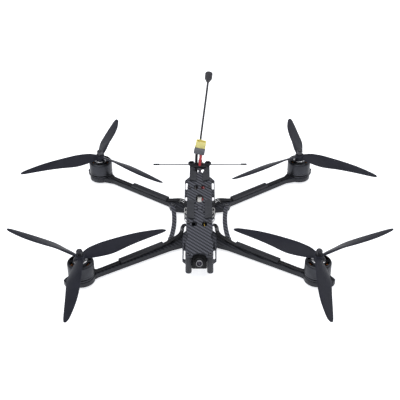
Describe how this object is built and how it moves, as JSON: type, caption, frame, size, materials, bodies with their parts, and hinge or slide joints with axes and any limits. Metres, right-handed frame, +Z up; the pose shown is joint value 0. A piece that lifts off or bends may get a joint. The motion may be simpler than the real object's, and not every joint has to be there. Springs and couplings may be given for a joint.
{
  "type": "racing quadcopter",
  "caption": "Long-range racing quadcopter: carbon X frame, brushless motors, three-blade propellers, tilting camera, aerials and battery plug.",
  "frame": {"origin": "on the floor, under the middle of the bottom plate, between the motors", "axes": "-Y towards the nose and the camera, +X towards the drone's own left, +Z up"},
  "size_m": [0.5446, 0.514, 0.1886],
  "materials": {
    "carbon": "woven carbon laminate, satin",
    "grip_rubber": "matt anti-slip rubber",
    "printed": "printed flexible polymer",
    "black_silicone": "silicone insulation",
    "red_silicone": "silicone insulation",
    "stator": "coated laminations and copper windings",
    "motor_black": "black anodised",
    "propeller": "satin moulded nylon",
    "nut": "black anodised",
    "standoff": "black anodised",
    "circuit_board": "black solder mask",
    "heat_sink": "dark anodised",
    "capacitor_sleeve": "shrink sleeve",
    "camera_body": "moulded",
    "lens": "coated glass in a bright ring",
    "antenna": "moulded",
    "plug_yellow": "moulded nylon",
    "plug_grey": "moulded nylon"
  },
  "bodies": {
    "airframe": {"antenna_mount": "printed", "arm_front_left": "carbon", "arm_front_right": "carbon", "arm_rear_left": "carbon", "arm_rear_right": "carbon", "battery_pad_middle_left": "grip_rubber", "battery_pad_middle_right": "grip_rubber", "battery_pad_rear_left": "grip_rubber", "battery_pad_rear_right": "grip_rubber", "bottom_plate": "carbon", "camera_mount_left": "printed", "camera_mount_right": "printed", "capacitor": "capacitor_sleeve", "flight_controller": "circuit_board", "mid_plate": "carbon", "motor_leads_front_left": "black_silicone", "motor_leads_front_right": "black_silicone", "motor_leads_rear_left": "black_silicone", "motor_leads_rear_right": "black_silicone", "motor_stator_front_left": "stator", "motor_stator_front_right": "stator", "motor_stator_rear_left": "stator", "motor_stator_rear_right": "stator", "plug_body": "plug_yellow", "plug_cap": "plug_grey", "power_lead_black": "black_silicone", "power_lead_red": "red_silicone", "receiver": "circuit_board", "side_brace_left": "carbon", "side_brace_right": "carbon", "speed_controller": "circuit_board", "standoff_middle_left": "standoff", "standoff_middle_right": "standoff", "standoff_rear_left": "standoff", "standoff_rear_middle_left": "standoff", "standoff_rear_middle_right": "standoff", "standoff_rear_right": "standoff", "t_antenna": "antenna", "top_plate": "carbon", "video_transmitter": "heat_sink", "whip_antenna": "antenna", "wire_cover_front_left": "printed", "wire_cover_front_right": "printed", "wire_cover_rear_left": "printed", "wire_cover_rear_right": "printed"},
    "rotor_front_left": {"motor_bell_front_left": "motor_black", "propeller_front_left": "propeller", "prop_nut_front_left": "nut"},
    "rotor_front_right": {"motor_bell_front_right": "motor_black", "propeller_front_right": "propeller", "prop_nut_front_right": "nut"},
    "rotor_rear_left": {"motor_bell_rear_left": "motor_black", "propeller_rear_left": "propeller", "prop_nut_rear_left": "nut"},
    "rotor_rear_right": {"motor_bell_rear_right": "motor_black", "propeller_rear_right": "propeller", "prop_nut_rear_right": "nut"},
    "camera": {"camera_housing": "camera_body", "camera_lens": "lens"}
  },
  "joints": [
    {"name": "spin_front_left", "type": "hinge", "parent": "airframe", "child": "rotor_front_left", "pos_m": [0.1575, -0.13, 0.04], "axis": [0, 0, 1], "continuous": true},
    {"name": "spin_front_right", "type": "hinge", "parent": "airframe", "child": "rotor_front_right", "pos_m": [-0.1575, -0.13, 0.04], "axis": [0, 0, 1], "continuous": true},
    {"name": "spin_rear_left", "type": "hinge", "parent": "airframe", "child": "rotor_rear_left", "pos_m": [0.1575, 0.13, 0.04], "axis": [0, 0, 1], "continuous": true},
    {"name": "spin_rear_right", "type": "hinge", "parent": "airframe", "child": "rotor_rear_right", "pos_m": [-0.1575, 0.13, 0.04], "axis": [0, 0, 1], "continuous": true},
    {"name": "camera_tilt", "type": "hinge", "parent": "airframe", "child": "camera", "pos_m": [0, -0.117, 0.0243], "axis": [-1, 0, 0], "range_deg": [-25, 15]}
  ]
}
